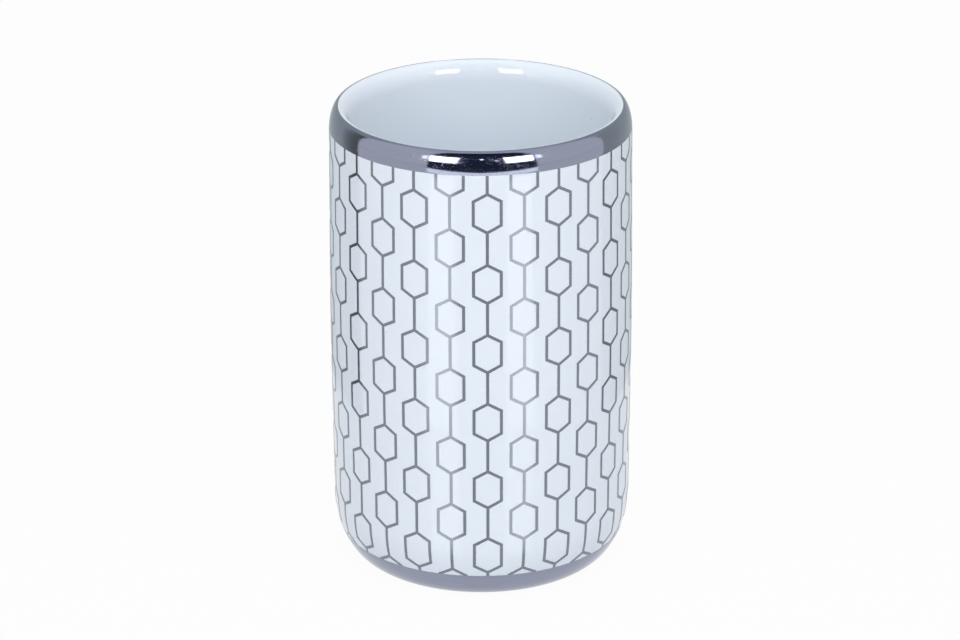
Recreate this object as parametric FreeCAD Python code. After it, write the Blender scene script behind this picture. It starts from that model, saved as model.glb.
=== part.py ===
"""Bathroom tumbler: a slip-cast ceramic cup, glazed white, with silver lustre bands and hexagon chains.

Millimetres, +Z up. The origin is the centre of the standing ring, on the surface the cup stands on.
The front of the cup, with the first chain, faces -Y.
"""
import FreeCAD
import Part

import math
import os

# Cup, measured on the glazed surface
height = 110.0
outer_diameter = 69.8
wall_swell = 0.3
wall_thickness = 4.5
floor_height = 6.0
glaze_thickness = 0.3

# Lip: an upright, slim round outside and a shorter round inside, which meet at the crest
lip_round_height = 6.0
lip_round_width = 2.1
inner_lip_round_height = 4.6

# Foot: a tall round that runs in to the standing ring
foot_round_height = 15.7
standing_ring_diameter = 52.0
standing_ring_width = 7.0
recess_depth = 1.6
recess_side_width = 2.0
glaze_line_height = 0.6

# Round between the inside wall and the floor
inner_foot_round_height = 12.0
inner_foot_round_width = 10.0

# Silver lustre bands
lustre_thickness = 0.12
rim_band_depth = 5.0
foot_band_height = 7.0

# Hexagon chains, sized along the middle of the printed line
chain_count = 26
chain_pitch = 16.7
hexagon_height = 9.04
hexagon_width = 6.17
hexagon_side = 5.6
line_width = 0.68
first_hexagon_drop = 4.35

# Equal stretches in which the wall's long line is drawn, so that its surface stays easy to follow
wall_stretch_count = 4

# How far cutting shapes run past what they cut
overrun = 2.0

outer_radius = outer_diameter / 2
wall_end_radius = outer_radius - wall_swell
lip_start_level = height - lip_round_height
crest_radius = wall_end_radius - lip_round_width
inner_radius = wall_end_radius - wall_thickness
inner_lip_start_level = height - inner_lip_round_height
inner_foot_end_level = floor_height + inner_foot_round_height
inner_floor_radius = inner_radius - inner_foot_round_width
ring_radius = standing_ring_diameter / 2
ring_inner_radius = ring_radius - standing_ring_width
recess_flat_radius = ring_inner_radius - recess_side_width
rim_band_level = height - rim_band_depth
top_level = height + overrun

# Levels at which a layer ends on the outside: the glaze, the foot band and the rim band
layer_ends = [glaze_line_height, foot_band_height, rim_band_level]

# A quarter ellipse is a curve through three poles whose middle pole has this weight
QUARTER_WEIGHT = math.sqrt(1 / 2)
# The middle one of five poles acts on the middle of the curve with this share
MIDDLE_POLE_SHARE = 6 / 16


def at(radius, level):
    """A point of the section, which lies in the XZ plane."""
    return FreeCAD.Vector(radius, 0, level)


def line(start, end):
    """A straight edge."""
    return Part.LineSegment(start, end).toShape()


def quarter_round(start, corner, end):
    """A quarter ellipse from start to end, tangent to the two sides that meet in the corner."""
    curve = Part.BezierCurve()
    curve.setPoles([start, corner, end])
    curve.setWeight(2, QUARTER_WEIGHT)
    return curve.toShape()


def swelling_wall(radius, start_level, end_level):
    """A nearly upright wall line in stretches, upright at its ends, that swells outwards in its middle."""
    quarter = (end_level - start_level) / 4
    swollen = radius + wall_swell / MIDDLE_POLE_SHARE
    curve = Part.BezierCurve()
    curve.setPoles([
        at(radius, start_level),
        at(radius, start_level + quarter),
        at(swollen, (start_level + end_level) / 2),
        at(radius, end_level - quarter),
        at(radius, end_level),
    ])
    stretches = []
    for number in range(wall_stretch_count):
        stretch = curve.copy()
        stretch.segment(number / wall_stretch_count, (number + 1) / wall_stretch_count)
        stretches.append(stretch.toShape())
    return stretches


def outer_curves(inset):
    """Foot, wall and lip of the outside, from the standing ring up to the crest, moved in by an inset."""
    radius = wall_end_radius - inset
    crest_level = height - inset
    foot = quarter_round(at(ring_radius, inset), at(radius, inset), at(radius, foot_round_height))
    wall = swelling_wall(radius, foot_round_height, lip_start_level)
    lip = quarter_round(at(radius, lip_start_level), at(radius, crest_level), at(crest_radius, crest_level))
    return [foot] + wall + [lip]


def inner_curves(inset):
    """Lip, wall, round and floor of the inside, from the crest down to the axis, moved in by an inset."""
    radius = inner_radius + inset
    crest_level = height - inset
    floor_level = floor_height - inset
    lip = quarter_round(
        at(crest_radius, crest_level), at(radius, crest_level), at(radius, inner_lip_start_level))
    wall = swelling_wall(radius, inner_lip_start_level, inner_foot_end_level)
    foot = quarter_round(
        at(radius, inner_foot_end_level), at(radius, floor_level), at(inner_floor_radius, floor_level))
    floor = line(at(inner_floor_radius, floor_level), at(0, floor_level))
    return [lip] + wall + [foot, floor]


def turned(edges):
    """The solid that a closed section makes when it turns once round the cup's axis."""
    wire = Part.Wire(Part.sortEdges(edges)[0])
    solid = Part.Face(wire).revolve(FreeCAD.Vector(0, 0, 0), FreeCAD.Vector(0, 0, 1), 360)
    return Part.Solid(solid)


def slab(low_level, high_level):
    """A round slab, wider than the cup, between two levels."""
    return Part.makeCylinder(
        outer_radius + overrun, high_level - low_level, FreeCAD.Vector(0, 0, low_level))


def outside(inset, low_level, high_level):
    """The outside's edges between two levels, moved in by an inset and split where a layer ends on it."""
    inner_levels = [level for level in layer_ends if low_level < level < high_level]
    levels = [low_level] + inner_levels + [high_level]
    stretches = []
    for low, high in zip(levels, levels[1:]):
        zone = slab(low, high)
        for edge in outer_curves(inset):
            stretches += edge.common(zone).Edges
    return stretches


def end_points(edges):
    """The lowest and the highest end point of some edges."""
    points = sorted((vertex.Point for edge in edges for vertex in edge.Vertexes), key=lambda point: point.z)
    return points[0], points[-1]


def polygon_edges(points):
    """The closed ring of straight edges through some points."""
    return [line(start, end) for start, end in zip(points, points[1:] + points[:1])]


def ceramic_body():
    """The clay of the cup, one glaze thickness under the glazed surface, with its bare standing ring."""
    recess_level = recess_depth + glaze_thickness
    underside = [
        at(0, recess_level),
        at(recess_flat_radius, recess_level),
        at(ring_inner_radius, 0),
        at(ring_radius, 0),
        at(ring_radius, glaze_thickness),
    ]
    edges = [line(start, end) for start, end in zip(underside, underside[1:])]
    edges += outside(glaze_thickness, 0, top_level) + inner_curves(glaze_thickness)
    edges.append(line(at(0, floor_height - glaze_thickness), at(0, recess_level)))
    return turned(edges)


def glaze_coat():
    """The glaze over the outside, the lip and the inside, down to the glaze line."""
    over = outside(0, glaze_line_height, top_level)
    under = outside(glaze_thickness, glaze_line_height, top_level)
    edges = over + inner_curves(0) + under + inner_curves(glaze_thickness)
    edges.append(line(at(0, floor_height), at(0, floor_height - glaze_thickness)))
    edges.append(line(end_points(over)[0], end_points(under)[0]))
    return turned(edges)


def base_glaze():
    """The patch of glaze in the recess under the base, bounded by the recess's sloping side."""
    recess_level = recess_depth + glaze_thickness
    depth_share = recess_depth / recess_level
    edge_radius = ring_inner_radius - recess_side_width * depth_share
    return turned(polygon_edges([
        at(0, recess_depth),
        at(edge_radius, recess_depth),
        at(recess_flat_radius, recess_level),
        at(0, recess_level),
    ]))


def lustre_film(low_level, high_level):
    """A film of lustre round the outside between two levels."""
    under = outside(0, low_level, high_level)
    over = outside(-lustre_thickness, low_level, high_level)
    ends = [line(inner, outer) for inner, outer in zip(end_points(under), end_points(over))]
    return turned(under + over + ends)


def hexagon_corners(offset):
    """Top, side, upper shoulder and slope of a hexagon about its centre, moved out by an offset."""
    half_width = hexagon_width / 2
    shoulder_rise = (hexagon_height - hexagon_side) / 2
    slope = shoulder_rise / half_width
    top = hexagon_height / 2 + offset * math.hypot(half_width, shoulder_rise) / half_width
    side = half_width + offset
    return top, side, top - side * slope, slope


def chain_outline(centres):
    """A chain's flat face in the XZ plane: links and hexagons in one outline, with open hexagons."""
    link_side = line_width / 2
    top, side, shoulder, slope = hexagon_corners(line_width / 2)
    meeting = top - link_side * slope
    right = [at(link_side, centres[0] + chain_pitch / 2)]
    for centre in centres:
        right.append(at(link_side, centre + meeting))
        right.append(at(side, centre + shoulder))
        right.append(at(side, centre - shoulder))
        right.append(at(link_side, centre - meeting))
    right.append(at(link_side, centres[-1] - chain_pitch / 2))
    left = [at(-corner.x, corner.z) for corner in reversed(right)]
    wires = [Part.Wire(polygon_edges(right + left))]

    top, side, shoulder, slope = hexagon_corners(-line_width / 2)
    for centre in centres:
        wires.append(Part.Wire(polygon_edges([
            at(0, centre + top),
            at(side, centre + shoulder),
            at(side, centre - shoulder),
            at(0, centre - top),
            at(-side, centre - shoulder),
            at(-side, centre + shoulder),
        ])))
    return Part.makeFace(wires, "Part::FaceMakerBullseye")


def chain_centres(stagger):
    """Levels of a chain's hexagons, from above the rim band's edge to below the foot band's edge."""
    level = rim_band_level - first_hexagon_drop - hexagon_height / 2 + stagger
    while level + chain_pitch / 2 < rim_band_level:
        level += chain_pitch
    centres = [level]
    while level - chain_pitch / 2 > foot_band_height:
        level -= chain_pitch
        centres.append(level)
    return centres


def hexagon_chain(zone, stagger):
    """A chain on the front of the cup, cut out of the film between the two bands."""
    reach = FreeCAD.Vector(0, -(outer_radius + overrun), 0)
    cutter = chain_outline(chain_centres(stagger)).extrude(reach)
    return zone.common(cutter)


def pieces():
    """Every piece of the tumbler by its node name."""
    zone = lustre_film(foot_band_height, rim_band_level)
    patterns = [hexagon_chain(zone, 0), hexagon_chain(zone, chain_pitch / 2)]
    made = {
        "ceramic_body": ceramic_body(),
        "glaze_coat": glaze_coat(),
        "base_glaze": base_glaze(),
        "rim_band": lustre_film(rim_band_level, top_level),
        "foot_band": lustre_film(glaze_line_height, foot_band_height),
    }
    for number in range(chain_count):
        chain = patterns[number % len(patterns)].copy()
        chain.rotate(FreeCAD.Vector(0, 0, 0), FreeCAD.Vector(0, 0, 1), 360 * number / chain_count)
        made[f"hexagon_chain_{number + 1:02d}"] = chain
    return made


os.makedirs("parts", exist_ok=True)
for name, shape in pieces().items():
    solids = shape.Solids
    state = "valid" if shape.isValid() else "not valid"
    print(name, len(solids), "solid,", round(shape.Volume, 3), "mm3,", state)
    Part.Compound(solids).exportStep(f"parts/{name}.step")
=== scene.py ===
"""Bathroom tumbler: a glazed ceramic cup with silver lustre bands and printed hexagon chains.

Laid out as an add-on and run as a script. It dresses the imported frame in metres, layer by layer: the clay
cup, its white glaze, the two silver bands and the printed chains, and then a small white photo studio.
"""

import bisect
import math

import bmesh
import bpy
from bpy.props import FloatProperty, FloatVectorProperty, PointerProperty
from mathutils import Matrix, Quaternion, Vector


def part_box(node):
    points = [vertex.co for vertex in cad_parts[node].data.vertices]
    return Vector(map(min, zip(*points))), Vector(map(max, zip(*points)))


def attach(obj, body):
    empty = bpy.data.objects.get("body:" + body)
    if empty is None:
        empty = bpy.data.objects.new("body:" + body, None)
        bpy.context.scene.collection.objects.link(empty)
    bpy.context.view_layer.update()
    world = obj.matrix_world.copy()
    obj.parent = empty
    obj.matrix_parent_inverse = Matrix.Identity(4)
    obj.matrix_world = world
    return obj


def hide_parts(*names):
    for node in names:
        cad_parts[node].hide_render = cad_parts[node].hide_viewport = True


bl_info = {
    "name": "Bathroom tumbler",
    "version": (1, 0, 0),
    "blender": (4, 5, 0),
    "location": "3D View > Sidebar > Tumbler",
    "description": "A glazed tumbler with silver lustre bands and printed hexagon chains",
    "category": "Object",
}

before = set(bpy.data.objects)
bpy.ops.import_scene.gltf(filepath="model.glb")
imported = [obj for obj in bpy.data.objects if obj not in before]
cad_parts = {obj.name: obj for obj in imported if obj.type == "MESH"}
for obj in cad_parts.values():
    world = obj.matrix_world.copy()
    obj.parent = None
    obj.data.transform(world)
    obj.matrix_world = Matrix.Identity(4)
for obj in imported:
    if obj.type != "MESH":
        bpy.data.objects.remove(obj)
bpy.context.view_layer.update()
BODY = "root"
MM = 0.001

GLAZE_LOW, GLAZE_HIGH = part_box("glaze_coat")
RIM_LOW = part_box("rim_band")[0]
FOOT_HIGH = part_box("foot_band")[1]
CHAIN_NODES = sorted(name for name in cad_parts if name.startswith("hexagon_chain_"))

# How finely the meshes are divided
TURN_STEPS = 288
ROUND_STEPS = 28
WALL_STEPS = 72
FLOOR_STEPS = 10
SLANT_STEPS = 3
SIDE_STEPS = 4
LINK_STEPS = 5
SCREEN_STEPS = 48
# Edges that turn by more than this are drawn sharp
SHARP_ANGLE = math.radians(32)
# Points closer than this are one point
WELD_REACH = 0.001 * MM
# Where round the cup the two waves of its lip stand, in radians
OVAL_TURN = 0.6
TRIANGLE_TURN = 2.0
# How far back, and how high, a direction points where the tent's rear and its top begin and are full
TENT_REAR = (0.22, 0.34)
TENT_TOP = (0.75, 1.0)
# Share of its reach to the side at which the screen's painted reflection begins to change its tone
SCREEN_END = 0.9


def linear(hex_colour):
    """The linear colour of an sRGB hex value such as F2F5FA, fully opaque."""
    parts = [int(hex_colour[start:start + 2], 16) / 255 for start in (0, 2, 4)]
    return [part / 12.92 if part <= 0.04045 else ((part + 0.055) / 1.055) ** 2.4 for part in parts] + [1]


def user_colour(name, description, hex_colour):
    """A colour that the user may change."""
    return FloatVectorProperty(
        name=name, description=description, default=linear(hex_colour),
        size=4, min=0, max=1, subtype="COLOR")


def user_length(name, description, default):
    """A length that the user may change."""
    return FloatProperty(name=name, description=description, default=default, min=0, unit="LENGTH")


def user_angle(name, description, degrees):
    """An angle that the user may change."""
    return FloatProperty(name=name, description=description, default=math.radians(degrees), unit="ROTATION")


def user_level(name, description, default):
    """A brightness that the user may change."""
    return FloatProperty(name=name, description=description, default=default, min=0)


class CupSizes(bpy.types.PropertyGroup):
    """Sizes of the cup, measured on its glazed surface."""

    height: user_length("Height", "From the standing ring to the crest of the lip", GLAZE_HIGH.z)
    outer_diameter: user_length(
        "Outer diameter", "Across the fullest part of the wall", GLAZE_HIGH.x - GLAZE_LOW.x)
    wall_swell: user_length("Wall swell", "How far the wall swells out between its two ends", 0.3 * MM)
    wall_thickness: user_length("Wall thickness", "Of the wall with its glaze", 4.5 * MM)
    floor_height: user_length("Floor height", "Of the inside floor over the standing surface", 6.0 * MM)
    glaze_thickness: user_length("Glaze thickness", "Of the fired glaze coat", 0.3 * MM)
    glaze_line_height: user_length(
        "Glaze line", "Level at which the glaze ends over the bare ring", GLAZE_LOW.z)
    lip_round_height: user_length("Lip round height", "Of the round outside the lip", 6.0 * MM)
    lip_round_width: user_length("Lip round width", "Of the round outside the lip", 2.1 * MM)
    inner_lip_round_height: user_length("Inner lip round height", "Of the round inside the lip", 4.6 * MM)
    foot_round_height: user_length(
        "Foot round height", "Of the round that runs in to the standing ring", 15.7 * MM)
    ring_diameter: user_length("Standing ring diameter", "Outer diameter of the bare ring", 52.0 * MM)
    ring_width: user_length("Standing ring width", "Width of the bare ring", 7.0 * MM)
    recess_depth: user_length("Recess depth", "Of the glazed recess inside the ring", 1.6 * MM)
    recess_side_width: user_length("Recess side width", "Of the sloping side of the recess", 2.0 * MM)
    inner_foot_round_height: user_length(
        "Inner foot round height", "Of the round between the inside wall and floor", 12.0 * MM)
    inner_foot_round_width: user_length(
        "Inner foot round width", "Of the round between the inside wall and floor", 10.0 * MM)
    out_of_round: user_length("Out of round", "How far the kiln draws the lip out of round", 0.05 * MM)

    @property
    def wall_end_radius(self):
        return self.outer_diameter / 2 - self.wall_swell

    @property
    def inner_radius(self):
        return self.wall_end_radius - self.wall_thickness

    @property
    def crest_radius(self):
        return self.wall_end_radius - self.lip_round_width

    @property
    def lip_start_level(self):
        return self.height - self.lip_round_height

    @property
    def ring_radius(self):
        return self.ring_diameter / 2

    @property
    def ring_inner_radius(self):
        return self.ring_radius - self.ring_width

    @property
    def recess_flat_radius(self):
        return self.ring_inner_radius - self.recess_side_width

    @property
    def recess_level(self):
        return self.recess_depth + self.glaze_thickness


class LustreSizes(bpy.types.PropertyGroup):
    """Sizes of the silver bands and of the printed hexagon chains."""

    film_thickness: user_length("Film thickness", "How far the silver stands off the glaze", 0.05 * MM)
    film_depth: user_length("Film depth", "How far the silver has sunk into the glaze", 0.03 * MM)
    rim_band_level: user_length("Rim band level", "Lower edge of the band round the lip", RIM_LOW.z)
    foot_band_level: user_length("Foot band level", "Upper edge of the band round the foot", FOOT_HIGH.z)
    chain_pitch: user_length("Chain pitch", "From one hexagon of a chain to the next", 16.7 * MM)
    hexagon_height: user_length("Hexagon height", "Along the middle of the printed line", 9.04 * MM)
    hexagon_width: user_length("Hexagon width", "Along the middle of the printed line", 6.17 * MM)
    hexagon_side: user_length("Hexagon side", "Length of the two upright sides", 5.6 * MM)
    line_width: user_length("Line width", "Of the printed line", 0.68 * MM)
    first_hexagon_drop: user_length(
        "First hexagon drop", "From the rim band to the first whole hexagon", 4.35 * MM)


class Finishes(bpy.types.PropertyGroup):
    """Colours of the materials and real sizes of their patterns."""

    glaze_white: user_colour("Glaze white", "Colour of the gloss glaze", "F0F7FD")
    glaze_shade: user_colour("Glaze shade", "Colour of the glaze where it lies thinner", "EBF3FB")
    speck_grey: user_colour("Speck grey", "Colour of the iron specks in the glaze", "9CA3AE")
    biscuit: user_colour("Biscuit", "Colour of the bare fired clay", "E6E0D6")
    biscuit_grit: user_colour("Biscuit grit", "Colour of the grit in the bare clay", "C9C0B2")
    band_silver: user_colour("Band silver", "Colour of the brushed-on lustre", "9398AB")
    band_streak: user_colour("Band streak", "Colour of the lustre where the brush left less of it", "8C92A4")
    print_silver: user_colour("Print silver", "Colour of the printed lustre", "7E838D")
    print_thin: user_colour("Thin print", "Colour of the printed lustre where it lies thin", "8D929B")
    cloud_size: user_length("Glaze cloud size", "Of the patches where the glaze lies thinner", 22 * MM)
    speck_spacing: user_length("Speck spacing", "Between the specks inside the glaze", 5.5 * MM)
    speck_radius: user_length("Speck radius", "Of the largest specks", 0.16 * MM)
    orange_peel_size: user_length("Orange peel size", "Of the faint waves in the fired glaze", 3.0 * MM)
    orange_peel_height: user_length("Orange peel height", "Of the waves in the glaze", 0.01 * MM)
    grit_size: user_length("Grit size", "Of the grains in the bare clay", 0.35 * MM)
    grit_height: user_length("Grit height", "Of the grains over the bare clay", 0.05 * MM)
    mottle_spacing: user_length("Mottle spacing", "Between the fine blisters of the fired lustre", 0.3 * MM)
    mottle_radius: user_length("Mottle radius", "Of one fine blister", 0.08 * MM)
    mottle_height: user_length("Mottle height", "Of one fine blister", 0.008 * MM)
    streak_width: user_length("Brush streak width", "Of the streaks round the brushed bands", 0.5 * MM)
    streak_length: user_length("Brush streak length", "Of the streaks round the brushed bands", 30 * MM)
    print_grain_size: user_length(
        "Print grain size", "Of the grain that the screen left in the printed lines", 0.4 * MM)


class StudioSettings(bpy.types.PropertyGroup):
    """The floor, the lights and the camera."""

    floor_colour: user_colour("Floor", "Colour of the pale floor", "D6DADE")
    daylight: user_colour("Soft light", "Colour of the soft light all round and from above", "EFF0F3")
    wall_white: user_colour(
        "Tent wall", "Colour of the light tent's front and side walls, as metal shows them", "FFFFFF")
    rear_grey: user_colour(
        "Tent rear", "Colour of the grey screen and the tent's rear, as metal shows them", "C4CBCB")
    ceiling_grey: user_colour("Tent ceiling", "Colour of the tent's top, as metal shows it", "F0F3F8")
    # Painted reflection: the screen is a sheet that mirrors alone see, darker towards its ends to darken the
    # silver's sides.
    screen_dark: user_colour(
        "Screen left end", "Colour of the grey screen's left end, as metal shows it", "74766D")
    screen_middling: user_colour(
        "Screen right end", "Colour of the grey screen's right end, as metal shows it", "BEC4C0")
    # Painted reflection: the dark card is a sheet that mirrors alone see, a dark field in the silver; it
    # blocks no light.
    card_black: user_colour("Black card", "Colour of the dark card behind the camera", "2D3347")
    floor_white_share: FloatProperty(
        name="Floor white", description="Share of plain white in the floor as the camera sees it",
        default=0.96, min=0, max=1, subtype="FACTOR")
    floor_mirror_level: FloatProperty(
        name="Floor white in mirrors", description="Level of the floor's white as metal shows it",
        default=0.97, min=0, max=1, subtype="FACTOR")
    light_level: user_level("Light level", "Level of the soft light all round", 0.71)
    softbox_radiance: user_level("Softbox brightness", "Radiance of the two front softboxes", 1.1)
    # Painted highlight: mirrors alone see each softbox as a sheet that glows far brighter than its lamp
    # lights the cup.
    painted_softbox_shine: user_level(
        "Softbox shine", "Radiance of the two front softboxes, as mirrors show them", 8.0)
    top_radiance: user_level("Top light brightness", "Radiance of the large light over the cup", 1.5)
    # Painted reflection: two patches on the floor glow for mirrors alone, a painted pool of light that the
    # silver shows.
    painted_patch_radiance: user_level("Reflector brightness", "Radiance of the two lit cards on the floor", 2.2)
    # Painted reflection: a strip that glows brighter than white for mirrors alone, in place of a lit patch
    # of floor.
    painted_strip_radiance: user_level(
        "Strip brightness", "Radiance of the pale lit strip in front of the dark card", 2.0)
    lamp_radiance: user_level("Lamp brightness", "Radiance of the lamp over the camera", 5.0)
    second_lamp_radiance: user_level("Second lamp brightness", "Radiance of the lamp beside the camera", 2.5)
    gap_radiance: user_level(
        "Gap brightness", "Radiance of the two bright gaps in the tent beside the card", 2.2)
    softbox_distance: user_length("Softbox distance", "From the lip to the softboxes", 0.9)
    softbox_left: user_angle("Left softbox azimuth", "Round the cup, from its front", -29.9)
    softbox_right: user_angle("Right softbox azimuth", "Round the cup, from its front", 27.0)
    softbox_elevation: user_angle("Softbox elevation", "Above the horizon", 19.5)
    lamp_azimuth: user_angle("Lamp azimuth", "Of the lamp over the camera", -1.2)
    lamp_elevation: user_angle("Lamp elevation", "Of the lamp over the camera", 24.0)
    second_lamp_azimuth: user_angle("Second lamp azimuth", "Of the lamp beside the camera", 9.8)
    second_lamp_elevation: user_angle("Second lamp elevation", "Of the lamp beside the camera", 18.6)
    softbox_width: user_length("Softbox width", "Of each softbox", 0.325)
    softbox_height: user_length("Softbox height", "Of each softbox", 0.30)
    gap_left: user_angle("Left gap azimuth", "Round the cup, from its front", -44.6)
    gap_right: user_angle("Right gap azimuth", "Round the cup, from its front", 42.5)
    gap_width: user_length("Gap width", "Of each bright gap", 0.06)
    gap_height: user_length("Gap height", "Of each bright gap", 0.18)
    lamp_width: user_length("Lamp width", "Of each small oval lamp", 0.03)
    lamp_height: user_length("Lamp height", "Of each small oval lamp", 0.07)
    card_distance: user_length("Card distance", "From the axis to the upright dark card", 0.985)
    card_start: user_length(
        "Card start", "From the axis to where the dark card's sides start on the floor", 0.94)
    card_tip: user_length(
        "Card tip", "From the axis to where the dark card's middle starts on the floor", 0.74)
    strip_start: user_length(
        "Strip start", "From the axis to the pale lit strip in front of the dark card", 0.42)
    card_left: user_angle("Card to the left", "Angle from the camera's line to the card's left edge", 39)
    card_right: user_angle("Card to the right", "Angle from the camera's line to the card's right edge", 42)
    card_height: user_length("Card height", "Of the dark card", 3.0)
    screen_radius: user_length(
        "Screen radius", "From the axis to the curved grey screen behind the cup", 0.12)
    screen_height: user_length("Screen height", "Of the grey screen", 0.165)
    screen_start: user_angle("Screen start", "Angle from the camera's line to each end of the screen", 91)
    top_light_width: user_length("Top light width", "Of the square light over the cup", 1.3)
    top_light_distance: user_length("Top light distance", "From the lip to the light over the cup", 1.2)
    top_light_elevation: user_angle("Top light elevation", "Above the horizon, on the camera's side", 52)
    # Where the two painted pools of light lie on the floor.
    reflector_near: user_length(
        "Reflector near edge", "From the axis to the near edge of each lit card", 0.13)
    reflector_far: user_length("Reflector far edge", "From the axis to the far edge of each lit card", 0.36)
    reflector_start: user_angle("Reflector start", "Angle from the camera's line to each lit card", 19)
    reflector_end: user_angle(
        "Reflector end", "Angle from the camera's line to each lit card's outer side", 37)
    floor_width: user_length("Floor width", "Of the square floor", 12.0)
    camera_distance: user_length(
        "Camera distance", "From the camera to the point that it looks at", 944.26 * MM)
    camera_azimuth: user_angle("Camera azimuth", "Round the cup, from its front", -2.345)
    camera_elevation: user_angle("Camera elevation", "Above the horizon", 21.858)
    camera_roll: user_angle("Camera roll", "About its own axis", -0.166)
    aim_height: user_length("Aim height", "Level of the point that the camera looks at", 56.97 * MM)
    aim_side: FloatProperty(
        name="Aim to the side", description="From the axis to the point that the camera looks at",
        default=-0.25 * MM, unit="LENGTH")
    focal_length: FloatProperty(
        name="Focal length", description="Of the lens, in millimetres on a 36 mm wide sensor",
        default=152.4, min=1, unit="CAMERA")


class Tumbler(bpy.types.PropertyGroup):
    """Everything that the tumbler's operators read."""

    cup: PointerProperty(type=CupSizes, name="Cup", description="Sizes of the cup")
    lustre: PointerProperty(type=LustreSizes, name="Lustre", description="Sizes of the silver")
    finishes: PointerProperty(type=Finishes, name="Finishes", description="Colours and pattern sizes")
    studio: PointerProperty(type=StudioSettings, name="Studio", description="Floor, lights and camera")


# Lines of the cup's section: points of radius and level

def at(radius, level):
    """A point of the section."""
    return Vector((radius, level))


def quarter_round(start, corner, end):
    """Points of a quarter ellipse from start to end, tangent to the two sides that meet in the corner."""
    centre = start + end - corner
    angles = [step / ROUND_STEPS * math.pi / 2 for step in range(ROUND_STEPS + 1)]
    return [centre + (start - centre) * math.cos(a) + (end - centre) * math.sin(a) for a in angles]


def swelling_wall(cup, radius, start_level, end_level):
    """Points of a nearly upright wall, upright at its two ends, that swells outwards in its middle."""
    points = []
    for step in range(WALL_STEPS + 1):
        share = step / WALL_STEPS
        swell = cup.wall_swell * (4 * share * (1 - share)) ** 2
        points.append(at(radius + swell, start_level + share * (end_level - start_level)))
    return points


def outside(cup, inset):
    """Foot, wall and lip of the outside, from the standing ring up to the crest, moved in by an inset."""
    radius = cup.wall_end_radius - inset
    crest = cup.height - inset
    foot = quarter_round(at(cup.ring_radius, inset), at(radius, inset), at(radius, cup.foot_round_height))
    wall = swelling_wall(cup, radius, cup.foot_round_height, cup.lip_start_level)
    lip = quarter_round(at(radius, cup.lip_start_level), at(radius, crest), at(cup.crest_radius, crest))
    return foot + wall[1:-1] + lip


def inside(cup, inset):
    """Lip, wall, round and floor of the inside, from the crest down to the axis, moved in by an inset."""
    radius = cup.inner_radius + inset
    crest = cup.height - inset
    floor = cup.floor_height - inset
    lip_end = cup.height - cup.inner_lip_round_height
    foot_start = cup.floor_height + cup.inner_foot_round_height
    flat_radius = cup.inner_radius - cup.inner_foot_round_width
    lip = quarter_round(at(cup.crest_radius, crest), at(radius, crest), at(radius, lip_end))
    wall = swelling_wall(cup, radius, lip_end, foot_start)
    foot = quarter_round(at(radius, foot_start), at(radius, floor), at(flat_radius, floor))
    flat = [at(flat_radius * (1 - step / FLOOR_STEPS), floor) for step in range(1, FLOOR_STEPS + 1)]
    return lip + wall[1:-1] + foot + flat


def radius_at(points, level):
    """Radius at a level of a line whose points rise."""
    above = bisect.bisect_left(points, level, key=lambda point: point.y)
    above = min(max(above, 1), len(points) - 1)
    low, high = points[above - 1], points[above]
    return low.x + (high.x - low.x) * (level - low.y) / (high.y - low.y)


def stretch(points, low_level, high_level):
    """The stretch of a rising line between two levels, or up to the line's own ends."""
    low_level = max(low_level, points[0].y)
    high_level = min(high_level, points[-1].y)
    between = [point for point in points if low_level < point.y < high_level]
    start = at(radius_at(points, low_level), low_level)
    end = at(radius_at(points, high_level), high_level)
    return [start] + between + [end]


def drawn_out(cup, angle, level):
    """How far the fired cup stands out of round: two slow waves that grow towards its open lip."""
    oval = math.cos(2 * angle + OVAL_TURN)
    triangle = math.cos(3 * angle + TRIANGLE_TURN) / 2
    return cup.out_of_round * (oval + triangle) * level / cup.height


def around(cup, radius, angle, level):
    """A point on the cup, its angle counted from the front towards +X."""
    radius += drawn_out(cup, angle, level)
    return (radius * math.sin(angle), -radius * math.cos(angle), level)


# Pieces

def add_piece(name, vertices, faces, material, node):
    """A closed mesh that stands for a CAD node, rides on the cup and takes its finish from a slot."""
    mesh = bpy.data.meshes.new(name)
    mesh.from_pydata(vertices, [], faces)
    mesh.materials.append(material)
    shape = bmesh.new()
    shape.from_mesh(mesh)
    bmesh.ops.recalc_face_normals(shape, faces=shape.faces)
    shape.to_mesh(mesh)
    shape.free()
    mesh.shade_smooth()
    mesh.set_sharp_from_angle(angle=SHARP_ANGLE)
    piece = bpy.data.objects.new(name, mesh)
    bpy.context.scene.collection.objects.link(piece)
    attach(piece, BODY)
    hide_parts(node)


def turned(cup, section, is_ring):
    """Vertices and faces of a section that turns once round the axis. A ring's section is closed."""
    vertices = []
    rings = []
    for point in section:
        first = len(vertices)
        if point.x < WELD_REACH:
            vertices.append((0, 0, point.y))
            rings.append([first] * (TURN_STEPS + 1))
            continue
        for step in range(TURN_STEPS):
            vertices.append(around(cup, point.x, math.tau * step / TURN_STEPS, point.y))
        rings.append(list(range(first, first + TURN_STEPS)) + [first])
    pairs = list(zip(rings, rings[1:]))
    if is_ring:
        pairs.append((rings[-1], rings[0]))
    faces = []
    for ring, following in pairs:
        for step in range(TURN_STEPS):
            corners = (ring[step], ring[step + 1], following[step + 1], following[step])
            faces.append(list(dict.fromkeys(corners)))
    return vertices, faces


def film(cup, lustre, low_level, high_level):
    """The closed section of a silver film on the outside between two levels."""
    over = stretch(outside(cup, -lustre.film_thickness), low_level, high_level)
    under = stretch(outside(cup, lustre.film_depth), low_level, high_level)
    return over + under[::-1]


def hexagon_corners(lustre, offset):
    """The six corners of a hexagon about its centre, from the top to the right, moved out by an offset."""
    half_width = lustre.hexagon_width / 2
    shoulder_rise = (lustre.hexagon_height - lustre.hexagon_side) / 2
    slope = shoulder_rise / half_width
    top = lustre.hexagon_height / 2 + offset * math.hypot(half_width, shoulder_rise) / half_width
    side = half_width + offset
    shoulder = top - side * slope
    return [at(0, top), at(side, shoulder), at(side, -shoulder),
            at(0, -top), at(-side, -shoulder), at(-side, shoulder)]


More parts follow.
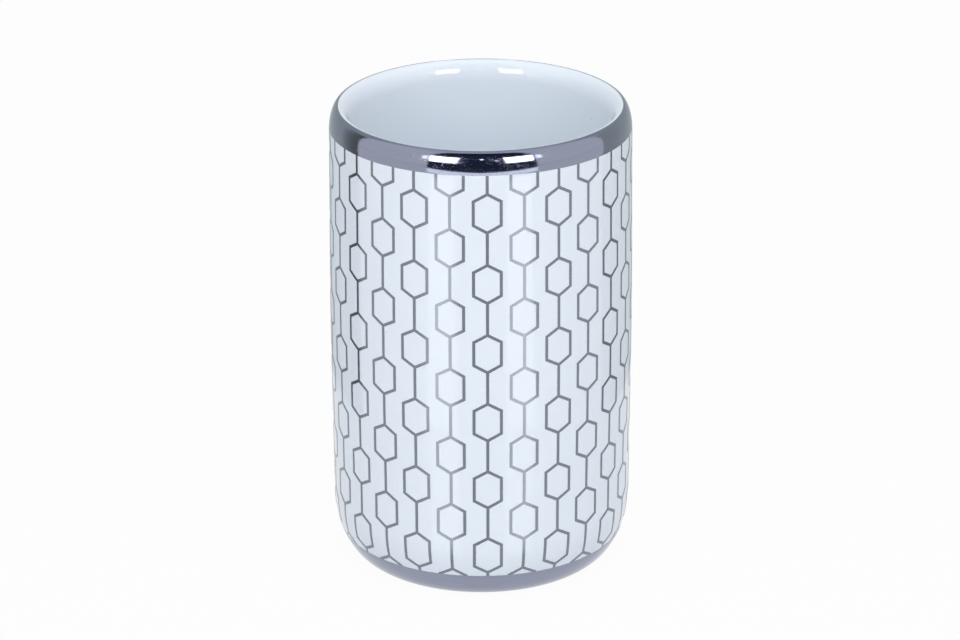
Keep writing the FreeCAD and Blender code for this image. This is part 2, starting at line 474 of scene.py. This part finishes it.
def hexagon_quads(lustre):
    """Flat quads of one hexagon's line about its centre. Its slants are divided where links join them."""
    outer = hexagon_corners(lustre, lustre.line_width / 2)
    inner = hexagon_corners(lustre, -lustre.line_width / 2)
    link_share = lustre.line_width / 2 / outer[1].x
    from_link = [0] + [link_share + (1 - link_share) * step / SLANT_STEPS for step in range(SLANT_STEPS + 1)]
    to_link = [1 - share for share in reversed(from_link)]
    upright = [step / SIDE_STEPS for step in range(SIDE_STEPS + 1)]
    quads = []
    for side, shares in enumerate([from_link, upright, to_link] * 2):
        following = (side + 1) % len(outer)
        rows = [(outer[side].lerp(outer[following], share), inner[side].lerp(inner[following], share))
                for share in shares]
        quads += [(start[0], end[0], end[1], start[1]) for start, end in zip(rows, rows[1:])]
    return quads


def link_quads(lustre):
    """Flat quads of the link that hangs under a hexagon, about that hexagon's centre."""
    half = lustre.line_width / 2
    bottom = hexagon_corners(lustre, half)[3]
    shoulder = hexagon_corners(lustre, half)[4]
    joint = bottom.lerp(shoulder, half / -shoulder.x)
    quads = []
    for side in (-half, half):
        rows = []
        for step in range(LINK_STEPS + 1):
            share = step / LINK_STEPS
            middle = bottom.y + share * (-lustre.chain_pitch - 2 * bottom.y)
            edge = joint.y + share * (-lustre.chain_pitch - 2 * joint.y)
            rows.append((at(0, middle), at(side, edge)))
        quads += [(start[0], end[0], end[1], start[1]) for start, end in zip(rows, rows[1:])]
    return quads


def chain_levels(lustre, stagger):
    """Levels of a chain's hexagons, from one above the rim band's edge to one below the foot band's edge."""
    level = lustre.rim_band_level - lustre.first_hexagon_drop - lustre.hexagon_height / 2 + stagger
    while level - lustre.chain_pitch / 2 < lustre.rim_band_level:
        level += lustre.chain_pitch
    levels = [level]
    while level + lustre.chain_pitch / 2 > lustre.foot_band_level:
        level -= lustre.chain_pitch
        levels.append(level)
    return levels


def flat_chain(lustre, stagger):
    """A flat mesh of one chain, cut off at the edges of the two bands."""
    flat = bmesh.new()
    quads = hexagon_quads(lustre) + link_quads(lustre)
    for level in chain_levels(lustre, stagger):
        for quad in quads:
            flat.faces.new([flat.verts.new((corner.x, 0, corner.y + level)) for corner in quad])
    bmesh.ops.remove_doubles(flat, verts=flat.verts, dist=WELD_REACH)
    for level, upwards in ((lustre.rim_band_level, 1), (lustre.foot_band_level, -1)):
        parts = flat.verts[:] + flat.edges[:] + flat.faces[:]
        bmesh.ops.bisect_plane(
            flat, geom=parts, plane_co=(0, 0, level), plane_no=(0, 0, upwards), clear_outer=True)
    flat.verts.index_update()
    return flat


def wrapped_chain(cup, lustre, flat, turn):
    """Vertices and faces of a chain's film, laid round the outside at an angle from the front."""
    surface = outside(cup, 0)
    vertices = []
    for lift in (lustre.film_thickness, -lustre.film_depth):
        for vertex in flat.verts:
            radius = radius_at(surface, vertex.co.z)
            angle = turn + math.asin(vertex.co.x / radius)
            vertices.append(around(cup, radius + lift, angle, vertex.co.z))
    under = len(flat.verts)
    faces = []
    for face in flat.faces:
        corners = [vertex.index for vertex in face.verts]
        faces.append(corners)
        faces.append([under + corner for corner in reversed(corners)])
    for edge in flat.edges:
        if edge.is_boundary:
            start, end = (vertex.index for vertex in edge.verts)
            faces.append((start, end, under + end, under + start))
    return vertices, faces


# Materials

def add_node(tree, kind, inputs=None, **settings):
    """A new shader node with its settings, and with values or other nodes' outputs on its inputs.

    A Mix of colours takes them on its inputs 6 and 7, and gives their mixture on its output 2.
    """
    node = tree.nodes.new("ShaderNode" + kind)
    for name, value in settings.items():
        setattr(node, name, value)
    for socket, value in (inputs or {}).items():
        if isinstance(value, bpy.types.NodeSocket):
            tree.links.new(value, node.inputs[socket])
        else:
            node.inputs[socket].default_value = value
    return node


def blank_material(name):
    """A new material, and its empty node tree."""
    material = bpy.data.materials.new(name)
    material.use_nodes = True
    material.node_tree.nodes.clear()
    return material, material.node_tree


def finished(material, surface):
    """The material with a shader on its surface."""
    add_node(material.node_tree, "OutputMaterial", {"Surface": surface.outputs[0]})
    return material


def white_glaze(finishes):
    """White earthenware glaze, dipped and fired to a gloss."""
    # It melts level, so it mirrors lights sharply under a faint orange peel. Where it lies thinner it is
    # a shade greyer, and a few iron specks show in it.
    material, tree = blank_material("earthenware_glaze_dipped_white_gloss")
    place = add_node(tree, "TexCoord").outputs["Object"]
    cloud = add_node(tree, "TexNoise", {"Vector": place, "Scale": 1 / finishes.cloud_size, "Detail": 3})
    body = add_node(tree, "Mix", {
        "Factor": cloud.outputs[0], 6: finishes.glaze_white, 7: finishes.glaze_shade}, data_type="RGBA")
    cells = add_node(tree, "TexVoronoi", {"Vector": place, "Scale": 1 / finishes.speck_spacing})
    speck_edge = finishes.speck_radius / finishes.speck_spacing
    speck = add_node(tree, "MapRange", {
        "Value": cells.outputs["Distance"], "From Min": speck_edge / 2, "From Max": speck_edge,
        "To Min": 1, "To Max": 0})
    colour = add_node(tree, "Mix", {
        "Factor": speck.outputs[0], 6: body.outputs[2], 7: finishes.speck_grey}, data_type="RGBA")
    gloss = add_node(tree, "MapRange", {"Value": cloud.outputs[0], "To Min": 0.045, "To Max": 0.085})
    waves = add_node(tree, "TexNoise", {
        "Vector": place, "Scale": 1 / finishes.orange_peel_size, "Detail": 1})
    peel = add_node(tree, "Bump", {
        "Height": waves.outputs[0], "Strength": 1, "Distance": finishes.orange_peel_height})
    surface = add_node(tree, "BsdfPrincipled", {
        "Base Color": colour.outputs[2], "Roughness": gloss.outputs[0], "IOR": 1.52,
        "Normal": peel.outputs[0]})
    return finished(material, surface)


def bare_biscuit(finishes):
    """White earthenware clay, cast, fired and sponged, without glaze."""
    # It is matt and chalky, with fine grit in it that the grinding of the ring lays open.
    material, tree = blank_material("earthenware_biscuit_cast_sponged")
    place = add_node(tree, "TexCoord").outputs["Object"]
    grit = add_node(tree, "TexNoise", {"Vector": place, "Scale": 1 / finishes.grit_size, "Detail": 4})
    cloud = add_node(tree, "TexNoise", {"Vector": place, "Scale": 1 / finishes.cloud_size, "Detail": 3})
    share = add_node(tree, "Math", {0: grit.outputs[0], 1: cloud.outputs[0]}, operation="MULTIPLY")
    colour = add_node(tree, "Mix", {
        "Factor": share.outputs[0], 6: finishes.biscuit, 7: finishes.biscuit_grit}, data_type="RGBA")
    matt = add_node(tree, "MapRange", {"Value": grit.outputs[0], "To Min": 0.7, "To Max": 0.95})
    grain = add_node(tree, "Bump", {
        "Height": grit.outputs[0], "Strength": 1, "Distance": finishes.grit_height})
    surface = add_node(tree, "BsdfPrincipled", {
        "Base Color": colour.outputs[2], "Roughness": matt.outputs[0], "IOR": 1.5,
        "Normal": grain.outputs[0]})
    return finished(material, surface)


def band_lustre(finishes):
    """Silver lustre, brushed on a turning wheel and fired on the glaze."""
    # It is a metal film, dark like gun metal and as sharp as a mirror. The brush leaves faint level
    # streaks in its tone. Firing leaves fine blisters, which sparkle where the mirror shows dark. They are
    # drawn coarser than they are, so that they show.
    material, tree = blank_material("silver_lustre_brushed_fired")
    place = add_node(tree, "TexCoord").outputs["Object"]
    along = finishes.streak_length
    laid = add_node(tree, "Mapping", {
        "Vector": place, "Scale": (1 / along, 1 / along, 1 / finishes.streak_width)})
    streaks = add_node(tree, "TexNoise", {"Vector": laid.outputs[0], "Scale": 1, "Detail": 3})
    colour = add_node(tree, "Mix", {
        "Factor": streaks.outputs[0], 6: finishes.band_silver, 7: finishes.band_streak}, data_type="RGBA")
    gloss = add_node(tree, "MapRange", {"Value": streaks.outputs[0], "To Min": 0.05, "To Max": 0.11})
    cells = add_node(tree, "TexVoronoi", {"Vector": place, "Scale": 1 / finishes.mottle_spacing})
    blister = add_node(tree, "MapRange", {
        "Value": cells.outputs["Distance"], "From Max": finishes.mottle_radius / finishes.mottle_spacing,
        "To Min": 1, "To Max": 0}, interpolation_type="SMOOTHSTEP")
    mottle = add_node(tree, "Bump", {
        "Height": blister.outputs[0], "Strength": 1, "Distance": finishes.mottle_height})
    surface = add_node(tree, "BsdfPrincipled", {
        "Base Color": colour.outputs[2], "Metallic": 1, "Roughness": gloss.outputs[0],
        "Normal": mottle.outputs[0]})
    return finished(material, surface)


def print_lustre(finishes):
    """Silver lustre, screen printed as a transfer and fired on the glaze."""
    # The screen lays it thinner than a brush does, so its mirror is softer and its tone is uneven.
    material, tree = blank_material("silver_lustre_screen_printed_fired")
    place = add_node(tree, "TexCoord").outputs["Object"]
    cloud = add_node(tree, "TexNoise", {"Vector": place, "Scale": 1 / finishes.cloud_size, "Detail": 4})
    grain = add_node(tree, "TexNoise", {
        "Vector": place, "Scale": 1 / finishes.print_grain_size, "Detail": 2})
    thin = add_node(tree, "Math", {0: grain.outputs[0], 1: cloud.outputs[0]}, operation="MULTIPLY")
    colour = add_node(tree, "Mix", {
        "Factor": thin.outputs[0], 6: finishes.print_silver, 7: finishes.print_thin}, data_type="RGBA")
    gloss = add_node(tree, "MapRange", {"Value": grain.outputs[0], "To Min": 0.12, "To Max": 0.24})
    surface = add_node(tree, "BsdfPrincipled", {
        "Base Color": colour.outputs[2], "Metallic": 1, "Roughness": gloss.outputs[0]})
    return finished(material, surface)


# Studio

def seen_rays(tree):
    """Sockets that are 1 for rays from the camera, a mirror or a clear body, and for the camera's alone."""
    path = add_node(tree, "LightPath")
    bounced = add_node(tree, "Math", {
        0: path.outputs["Is Glossy Ray"], 1: path.outputs["Is Transmission Ray"]}, operation="MAXIMUM")
    seen = add_node(tree, "Math", {
        0: path.outputs["Is Camera Ray"], 1: bounced.outputs[0]}, operation="MAXIMUM")
    return seen.outputs[0], path.outputs["Is Camera Ray"]


def pale_floor(studio):
    """White acrylic board: it shows white, with the cup's soft shadow in it, and mirrors see its gloss."""
    # The camera sees plain white and a small share of the lit board, which holds the shadow. Mirrors see
    # white alone, less what the board's gloss throws back.
    material, tree = blank_material("acrylic_board_white")
    seen, from_camera = seen_rays(tree)
    white_share = studio.floor_white_share
    gloss = add_node(tree, "Math", {0: seen, 1: from_camera}, operation="SUBTRACT").outputs[0]
    shown = add_node(tree, "Math", {0: from_camera, 1: white_share, 2: gloss}, operation="MULTIPLY_ADD")
    own = add_node(tree, "Math", {0: 1, 1: shown.outputs[0]}, operation="SUBTRACT")
    fresnel = add_node(tree, "Fresnel", {"IOR": 1.5})
    passed = add_node(tree, "MapRange", {
        "Value": fresnel.outputs[0], "To Min": studio.floor_mirror_level, "To Max": 0})
    mirrored = add_node(tree, "Math", {0: gloss, 1: passed.outputs[0]}, operation="MULTIPLY")
    glow = add_node(tree, "Math", {
        0: from_camera, 1: white_share, 2: mirrored.outputs[0]}, operation="MULTIPLY_ADD")
    colour = add_node(tree, "Mix", {
        "Factor": own.outputs[0], 6: (0, 0, 0, 1), 7: studio.floor_colour}, data_type="RGBA")
    level = add_node(tree, "Math", {0: gloss, 1: 0.5}, operation="MULTIPLY")
    board = add_node(tree, "BsdfPrincipled", {
        "Base Color": colour.outputs[2], "Roughness": 0.1, "Specular IOR Level": level.outputs[0]})
    white = add_node(tree, "Emission", {"Color": (1, 1, 1, 1), "Strength": glow.outputs[0]})
    surface = add_node(tree, "AddShader", {0: board.outputs[0], 1: white.outputs[0]})
    return finished(material, surface)


def painted_reflection_card(name, colour, radiance):
    """Sheet that glows at a plain radiance, which mirrors alone show as an even field: a painted reflection.
    """
    material, tree = blank_material(name)
    surface = add_node(tree, "Emission", {"Color": colour, "Strength": radiance})
    return finished(material, surface)


def painted_reflection_screen(studio):
    """Grey sheet for mirrors alone, darker towards its two ends: a painted reflection in the sides of the
    silver.
    """
    material, tree = blank_material("screen_painted_reflection")
    place = add_node(tree, "TexCoord").outputs["Object"]
    parts = add_node(tree, "SeparateXYZ", {"Vector": place})
    colour = studio.rear_grey
    for end, end_colour in ((-studio.screen_radius, studio.screen_dark),
                            (studio.screen_radius, studio.screen_middling)):
        share = add_node(tree, "MapRange", {
            "Value": parts.outputs["X"], "From Min": SCREEN_END * end, "From Max": end})
        colour = add_node(tree, "Mix", {
            "Factor": share.outputs[0], 6: colour, 7: end_colour}, data_type="RGBA").outputs[2]
    surface = add_node(tree, "Emission", {"Color": colour, "Strength": 1})
    return finished(material, surface)


def light_tent(studio):
    """The world: soft light at a plain level, which mirrors show as pale walls and the camera as white."""
    world = bpy.data.worlds.new("light_tent")
    world.use_nodes = True
    tree = world.node_tree
    tree.nodes.clear()
    seen, from_camera = seen_rays(tree)
    direction = add_node(tree, "TexCoord").outputs["Generated"]
    parts = add_node(tree, "SeparateXYZ", {"Vector": direction})
    rear = add_node(tree, "MapRange", {
        "Value": parts.outputs["Y"], "From Min": TENT_REAR[0], "From Max": TENT_REAR[1]},
        interpolation_type="SMOOTHSTEP")
    high = add_node(tree, "MapRange", {
        "Value": parts.outputs["Z"], "From Min": TENT_TOP[0], "From Max": TENT_TOP[1]},
        interpolation_type="SMOOTHSTEP")
    walls = add_node(tree, "Mix", {
        "Factor": rear.outputs[0], 6: studio.wall_white, 7: studio.rear_grey}, data_type="RGBA")
    tent = add_node(tree, "Mix", {
        "Factor": high.outputs[0], 6: walls.outputs[2], 7: studio.ceiling_grey}, data_type="RGBA")
    shown = add_node(tree, "Mix", {
        "Factor": from_camera, 6: tent.outputs[2], 7: (1, 1, 1, 1)}, data_type="RGBA")
    light = add_node(tree, "Background", {"Color": studio.daylight, "Strength": studio.light_level})
    background = add_node(tree, "Background", {"Color": shown.outputs[2], "Strength": 1})
    surface = add_node(tree, "MixShader", {0: seen, 1: light.outputs[0], 2: background.outputs[0]})
    add_node(tree, "OutputWorld", {"Surface": surface.outputs[0]})
    return world


def direction_to(azimuth, elevation):
    """The direction of a place round the cup, its azimuth counted from the front towards +X."""
    flat = math.cos(elevation)
    return Vector((math.sin(azimuth) * flat, -math.cos(azimuth) * flat, math.sin(elevation)))


def add_lamp(name, shape, size, radiance, place, target):
    """An area light of a plain radiance that faces a target."""
    light = bpy.data.lights.new(name, "AREA")
    light.shape = shape
    light.size, light.size_y = size
    light.energy = radiance * math.pi * light.size * light.size_y
    lamp = bpy.data.objects.new(name, light)
    lamp.location = place
    lamp.rotation_euler = (target - place).to_track_quat("-Z", "Y").to_euler()
    lamp.visible_camera = False
    bpy.context.scene.collection.objects.link(lamp)
    return lamp


def add_sheet(name, near_edge, far_edge, material, is_for_mirrors=True):
    """A sheet of the stage between two edges of as many points. One for mirrors shows in gloss alone."""
    count = len(near_edge)
    faces = [(step, step + 1, count + step + 1, count + step) for step in range(count - 1)]
    mesh = bpy.data.meshes.new(name)
    mesh.from_pydata(near_edge + far_edge, [], faces)
    mesh.materials.append(material)
    sheet = bpy.data.objects.new(name, mesh)
    bpy.context.scene.collection.objects.link(sheet)
    if is_for_mirrors:
        for kind in ("camera", "diffuse", "transmission", "volume_scatter", "shadow"):
            setattr(sheet, "visible_" + kind, False)


def hang_lights(studio, lip):
    """The front softboxes with the painted highlights that mirrors see in them, the gaps and small lamps
    beside the camera, and the large light over the cup.
    """
    softbox = (studio.softbox_width, studio.softbox_height)
    # Each softbox's sheet is a painted highlight: mirrors alone see it, and it glows far brighter than the
    # lamp lights the cup.
    highlight_paint = painted_reflection_card("softbox_painted_highlight", studio.wall_white, studio.painted_softbox_shine)
    for name, azimuth in (("softbox_left", studio.softbox_left), ("softbox_right", studio.softbox_right)):
        place = lip + direction_to(azimuth, studio.softbox_elevation) * studio.softbox_distance
        lamp = add_lamp(name, "RECTANGLE", softbox, studio.softbox_radiance, place, lip)
        lamp.visible_glossy = False
        turn = lamp.rotation_euler.to_matrix()
        low, high = [[place + turn @ Vector((side * softbox[0] / 2, level * softbox[1] / 2, 0))
                      for side in (-1, 1)] for level in (-1, 1)]
        add_sheet(name + "_cloth", low, high, highlight_paint)

    gap = (studio.gap_width, studio.gap_height)
    gap_elevation = studio.softbox_elevation
    bulb = (studio.lamp_width, studio.lamp_height)
    for name, shape, size, radiance, azimuth, elevation in (
            ("gap_left", "RECTANGLE", gap, studio.gap_radiance, studio.gap_left, gap_elevation),
            ("gap_right", "RECTANGLE", gap, studio.gap_radiance, studio.gap_right, gap_elevation),
            ("lamp_middle", "ELLIPSE", bulb, studio.lamp_radiance,
             studio.lamp_azimuth, studio.lamp_elevation),
            ("lamp_right", "ELLIPSE", bulb, studio.second_lamp_radiance,
             studio.second_lamp_azimuth, studio.second_lamp_elevation)):
        place = lip + direction_to(azimuth, elevation) * studio.softbox_distance
        add_lamp(name, shape, size, radiance, place, lip)

    over = direction_to(studio.camera_azimuth, studio.top_light_elevation) * studio.top_light_distance
    top = (studio.top_light_width, studio.top_light_width)
    top_light = add_lamp("top_light", "RECTANGLE", top, studio.top_radiance, lip + over, lip)
    top_light.data.color = studio.daylight[:3]
    top_light.visible_glossy = False


def set_cards(studio):
    """Painted reflections that the silver and glaze mirror: a dark card, a glowing strip before it, two
    glowing patches on the floor and a grey screen.
    """
    front = studio.camera_azimuth
    middle = direction_to(front, 0)
    left = direction_to(front - studio.card_left, 0) / math.cos(studio.card_left)
    right = direction_to(front + studio.card_right, 0) / math.cos(studio.card_right)
    clearance = Vector((0, 0, MM))
    card_edge = [left * studio.card_start + clearance, middle * studio.card_tip + clearance,
                 right * studio.card_start + clearance]
    fold = [side * studio.card_distance + clearance for side in (left, middle, right)]
    rise = Vector((0, 0, studio.card_height))
    # The dark card glows faintly for mirrors alone, a painted dark reflection; it blocks no light.
    black = painted_reflection_card("dark_card_painted_reflection", studio.card_black, 1)
    add_sheet("dark_reflection_flat", card_edge, fold, black)
    add_sheet("dark_reflection_upright", fold, [corner + rise for corner in fold], black)

    # The strip glows for mirrors alone: a painted reflection of a lit patch of floor.
    pale = painted_reflection_card("strip_painted_glow", studio.wall_white, studio.painted_strip_radiance)
    strip_edge = [side * studio.strip_start + clearance for side in (left, middle, right)]
    add_sheet("painted_glow_strip", strip_edge, card_edge, pale)

    # Two patches that glow for mirrors alone: a painted pool of light on the floor, as the silver shows it.
    white = painted_reflection_card("floor_patch_painted_glow", studio.wall_white, studio.painted_patch_radiance)
    for name, hand in (("painted_glow_left", -1), ("painted_glow_right", 1)):
        sides = [direction_to(front + hand * angle, 0)
                 for angle in (studio.reflector_start, studio.reflector_end)]
        near_edge = [side * studio.reflector_near + clearance for side in sides]
        far_edge = [side * studio.reflector_far + clearance for side in sides]
        add_sheet(name, near_edge, far_edge, white)

    # A curved grey sheet behind the cup that mirrors alone see: a painted reflection.
    sweep = math.tau - 2 * studio.screen_start
    first = front + studio.screen_start
    foot = [direction_to(first + sweep * step / SCREEN_STEPS, 0) * studio.screen_radius
            for step in range(SCREEN_STEPS + 1)]
    rise = Vector((0, 0, studio.screen_height))
    add_sheet("painted_reflection_screen", foot, [point + rise for point in foot], painted_reflection_screen(studio))


def aim_camera(scene, studio):
    """The camera, on the photograph's line of sight."""
    back = direction_to(studio.camera_azimuth, studio.camera_elevation)
    across = Vector((math.cos(studio.camera_azimuth), math.sin(studio.camera_azimuth), 0))
    aim = across * studio.aim_side + Vector((0, 0, studio.aim_height))
    lens = bpy.data.cameras.new("photo_camera")
    lens.lens = studio.focal_length
    camera = bpy.data.objects.new("photo_camera", lens)
    camera.location = aim + back * studio.camera_distance
    level = back.to_track_quat("Z", "Y")
    camera.rotation_euler = (level @ Quaternion((0, 0, 1), studio.camera_roll)).to_euler()
    scene.collection.objects.link(camera)
    scene.camera = camera


# Operators

class TUMBLER_OT_clay_cup(bpy.types.Operator):
    """Turn the clay cup, with its bare standing ring and its recess"""
    bl_idname = "tumbler.clay_cup"
    bl_label = "Clay cup"

    def execute(self, context):
        cup = context.scene.tumbler.cup
        underside = [at(0, cup.recess_level), at(cup.recess_flat_radius, cup.recess_level)]
        ring = [at(cup.ring_inner_radius, 0), at(cup.ring_radius, 0)]
        line = underside + ring + outside(cup, cup.glaze_thickness) + inside(cup, cup.glaze_thickness)[1:]
        vertices, faces = turned(cup, line, is_ring=False)
        material = bare_biscuit(context.scene.tumbler.finishes)
        add_piece("clay_cup", vertices, faces, material, "ceramic_body")
        return {"FINISHED"}


class TUMBLER_OT_glaze(bpy.types.Operator):
    """Coat the cup with white glaze, and the recess under its base"""
    bl_idname = "tumbler.glaze"
    bl_label = "White glaze"

    def execute(self, context):
        cup = context.scene.tumbler.cup
        material = white_glaze(context.scene.tumbler.finishes)
        over = stretch(outside(cup, 0), cup.glaze_line_height, cup.height)
        under = stretch(outside(cup, cup.glaze_thickness), cup.glaze_line_height, cup.height)
        line = inside(cup, 0)[::-1] + over[-2::-1] + under + inside(cup, cup.glaze_thickness)[1:]
        vertices, faces = turned(cup, line, is_ring=False)
        add_piece("white_glaze", vertices, faces, material, "glaze_coat")

        edge_share = cup.recess_depth / cup.recess_level
        edge_radius = cup.ring_inner_radius - cup.recess_side_width * edge_share
        patch = [at(0, cup.recess_depth), at(edge_radius, cup.recess_depth),
                 at(cup.recess_flat_radius, cup.recess_level), at(0, cup.recess_level)]
        vertices, faces = turned(cup, patch, is_ring=False)
        add_piece("recess_glaze", vertices, faces, material, "base_glaze")
        return {"FINISHED"}


class TUMBLER_OT_silver_bands(bpy.types.Operator):
    """Lay the silver bands round the lip and the foot"""
    bl_idname = "tumbler.silver_bands"
    bl_label = "Silver bands"

    def execute(self, context):
        cup = context.scene.tumbler.cup
        lustre = context.scene.tumbler.lustre
        material = band_lustre(context.scene.tumbler.finishes)
        above = cup.height + lustre.film_thickness
        for name, node, low_level, high_level in (
                ("silver_rim", "rim_band", lustre.rim_band_level, above),
                ("silver_foot", "foot_band", cup.glaze_line_height, lustre.foot_band_level)):
            vertices, faces = turned(cup, film(cup, lustre, low_level, high_level), is_ring=True)
            add_piece(name, vertices, faces, material, node)
        return {"FINISHED"}


class TUMBLER_OT_hexagon_chains(bpy.types.Operator):
    """Print the chains of hexagons round the wall, every other one half a repeat lower"""
    bl_idname = "tumbler.hexagon_chains"
    bl_label = "Hexagon chains"

    def execute(self, context):
        cup = context.scene.tumbler.cup
        lustre = context.scene.tumbler.lustre
        material = print_lustre(context.scene.tumbler.finishes)
        plans = [flat_chain(lustre, 0), flat_chain(lustre, lustre.chain_pitch / 2)]
        for number, node in enumerate(CHAIN_NODES):
            turn = math.tau * number / len(CHAIN_NODES)
            vertices, faces = wrapped_chain(cup, lustre, plans[number % len(plans)], turn)
            name = node.replace("hexagon_chain", "silver_chain")
            add_piece(name, vertices, faces, material, node)
        for plan in plans:
            plan.free()
        return {"FINISHED"}


class TUMBLER_OT_studio(bpy.types.Operator):
    """Set the pale floor, the light tent, the lights, the cards and the camera"""
    bl_idname = "tumbler.studio"
    bl_label = "Photo studio"

    def execute(self, context):
        scene = context.scene
        studio = scene.tumbler.studio
        scene.view_settings.view_transform = "Standard"
        scene.world = light_tent(studio)
        half = studio.floor_width / 2
        add_sheet("floor", [(-half, -half, 0), (half, -half, 0)], [(-half, half, 0), (half, half, 0)],
                  pale_floor(studio), is_for_mirrors=False)
        hang_lights(studio, Vector((0, 0, scene.tumbler.cup.height)))
        set_cards(studio)
        aim_camera(scene, studio)
        return {"FINISHED"}


class VIEW3D_PT_tumbler(bpy.types.Panel):
    """Lists the steps that build the tumbler, and what they read"""
    bl_label = "Bathroom tumbler"
    bl_space_type = "VIEW_3D"
    bl_region_type = "UI"
    bl_category = "Tumbler"

    def draw(self, context):
        for step in STEPS:
            self.layout.operator(step.bl_idname)
        tumbler = context.scene.tumbler
        for group in (tumbler.cup, tumbler.lustre, tumbler.finishes, tumbler.studio):
            box = self.layout.box()
            for name in group.__annotations__:
                box.prop(group, name)


STEPS = (
    TUMBLER_OT_clay_cup,
    TUMBLER_OT_glaze,
    TUMBLER_OT_silver_bands,
    TUMBLER_OT_hexagon_chains,
    TUMBLER_OT_studio,
)
CLASSES = (CupSizes, LustreSizes, Finishes, StudioSettings, Tumbler) + STEPS + (VIEW3D_PT_tumbler,)


def register():
    for item in CLASSES:
        bpy.utils.register_class(item)
    bpy.types.Scene.tumbler = PointerProperty(type=Tumbler)


def unregister():
    del bpy.types.Scene.tumbler
    for item in reversed(CLASSES):
        bpy.utils.unregister_class(item)


def main():
    """Builds every layer in the order of its making, then the studio."""
    register()
    bpy.ops.tumbler.clay_cup()
    bpy.ops.tumbler.glaze()
    bpy.ops.tumbler.silver_bands()
    bpy.ops.tumbler.hexagon_chains()
    bpy.ops.tumbler.studio()


if __name__ == "__main__":
    main()
